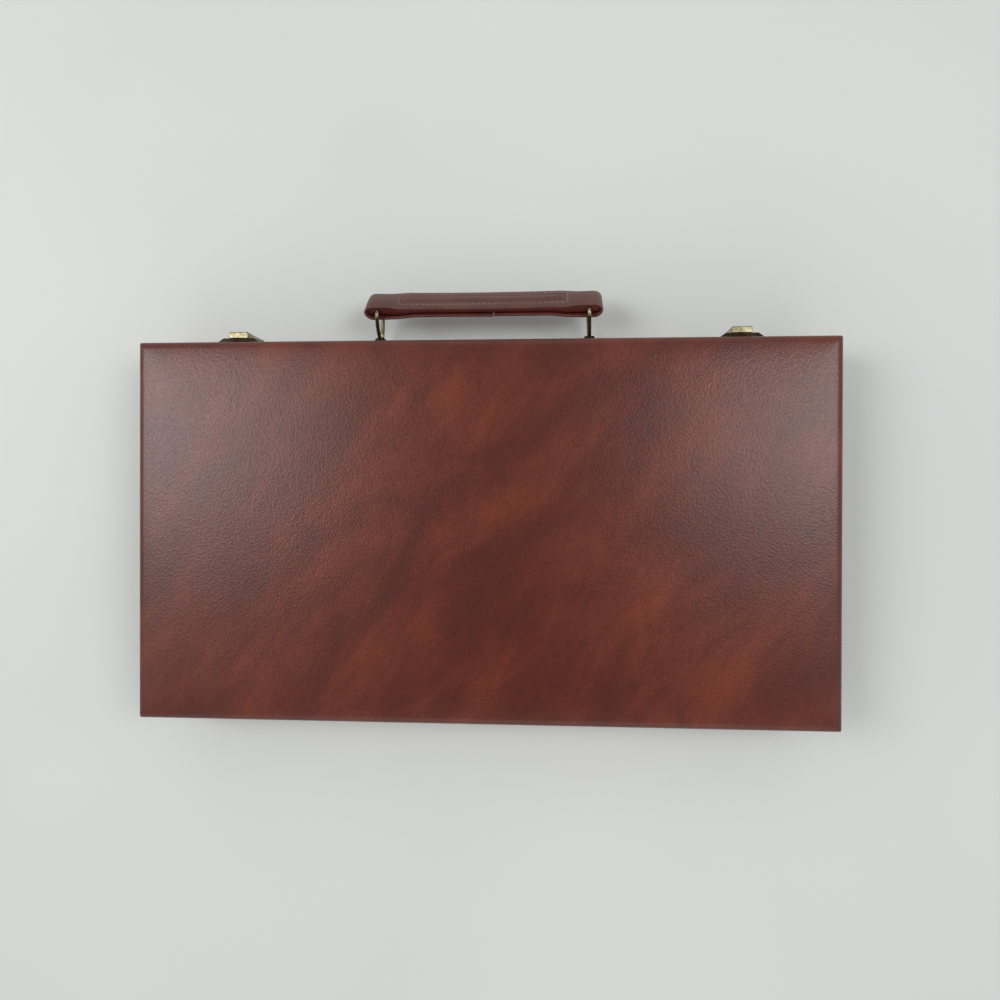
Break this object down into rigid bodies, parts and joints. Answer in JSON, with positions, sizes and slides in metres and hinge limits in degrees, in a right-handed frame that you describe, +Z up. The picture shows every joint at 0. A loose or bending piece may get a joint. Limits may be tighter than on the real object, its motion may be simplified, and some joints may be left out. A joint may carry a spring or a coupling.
{
  "type": "rummy tile game set",
  "caption": "Flat padded attache case on rear hinges, with two lever latches and a swinging ring handle, holding numbered tiles and nested tile racks.",
  "frame": {"origin": "centre of the case's flat underside", "axes": "+X along the case, +Y out of the front wall with the handle and latches, +Z up through the lid"},
  "size_m": [0.38, 0.243, 0.048],
  "materials": {
    "leatherette": "mottled oxblood leatherette, fine pebble grain, soft gloss",
    "board": "chipboard, bare, hidden",
    "lining": "flocked burgundy paper lining, matt",
    "foam": "thin foam sheet, hidden",
    "aged_brass": "lacquered brass plating, aged",
    "dark_brass": "antiqued brass plating, dark in the hollows",
    "spring_steel": "plain strip steel",
    "handle_vinyl": "stitched burgundy brown vinyl",
    "handle_padding": "dense padding, hidden",
    "tile_plastic": "ivory plastic with printed numerals",
    "rack_plastic": "dark red brown moulded plastic"
  },
  "bodies": {
    "base": {"base_bottom_covering": "leatherette", "base_side_covering": "leatherette", "base_floor_board": "board", "base_front_board": "board", "base_rear_board": "board", "base_left_board": "board", "base_right_board": "board", "base_floor_lining": "lining", "base_wall_lining": "lining", "divider_front": "lining", "divider_rear": "lining", "tile_well_ends": "lining", "hinge_base_screws": "dark_brass", "latch_rivets": "aged_brass", "ring_plate_left": "dark_brass", "ring_plate_right": "dark_brass", "ring_plate_rivets": "aged_brass", "tiles_black": "tile_plastic", "tiles_blue": "tile_plastic", "tiles_orange": "tile_plastic", "tiles_red": "tile_plastic", "joker_tiles": "tile_plastic", "rack_1": "rack_plastic", "rack_2": "rack_plastic", "rack_3": "rack_plastic", "rack_4": "rack_plastic", "hinge_left_base_leaf": "dark_brass", "hinge_left_pin": "aged_brass", "latch_left_plate": "dark_brass", "latch_left_pin": "aged_brass", "latch_left_spring": "spring_steel", "hinge_right_base_leaf": "dark_brass", "hinge_right_pin": "aged_brass", "latch_right_plate": "dark_brass", "latch_right_pin": "aged_brass", "latch_right_spring": "spring_steel"},
    "lid": {"lid_covering": "leatherette", "lid_foam_pad": "foam", "lid_top_board": "board", "lid_front_board": "board", "lid_rear_board": "board", "lid_left_board": "board", "lid_right_board": "board", "lid_lining": "lining", "keeper_rivets": "aged_brass", "keeper_left": "dark_brass", "keeper_right": "dark_brass", "hinge_left_lid_leaf": "dark_brass", "hinge_right_lid_leaf": "dark_brass", "hinge_lid_screws": "dark_brass"},
    "left_lever": {"latch_left_lever": "aged_brass"},
    "right_lever": {"latch_right_lever": "aged_brass"},
    "handle": {"ring_left": "aged_brass", "ring_right": "aged_brass", "handle_strap": "handle_vinyl", "handle_core": "handle_padding"}
  },
  "joints": [
    {"name": "lid_hinge", "type": "hinge", "parent": "base", "child": "lid", "pos_m": [0, -0.1061, 0.03], "axis": [1, 0, 0], "range_deg": [0, 180]},
    {"name": "left_latch", "type": "hinge", "parent": "base", "child": "left_lever", "pos_m": [-0.1358, 0.10875, 0.018], "axis": [-1, 0, 0], "range_deg": [0, 90]},
    {"name": "right_latch", "type": "hinge", "parent": "base", "child": "right_lever", "pos_m": [0.1392, 0.10875, 0.018], "axis": [-1, 0, 0], "range_deg": [0, 90]},
    {"name": "handle_swing", "type": "hinge", "parent": "base", "child": "handle", "pos_m": [0, 0.1131, 0.015], "axis": [1, 0, 0], "range_deg": [-50, 25]}
  ]
}
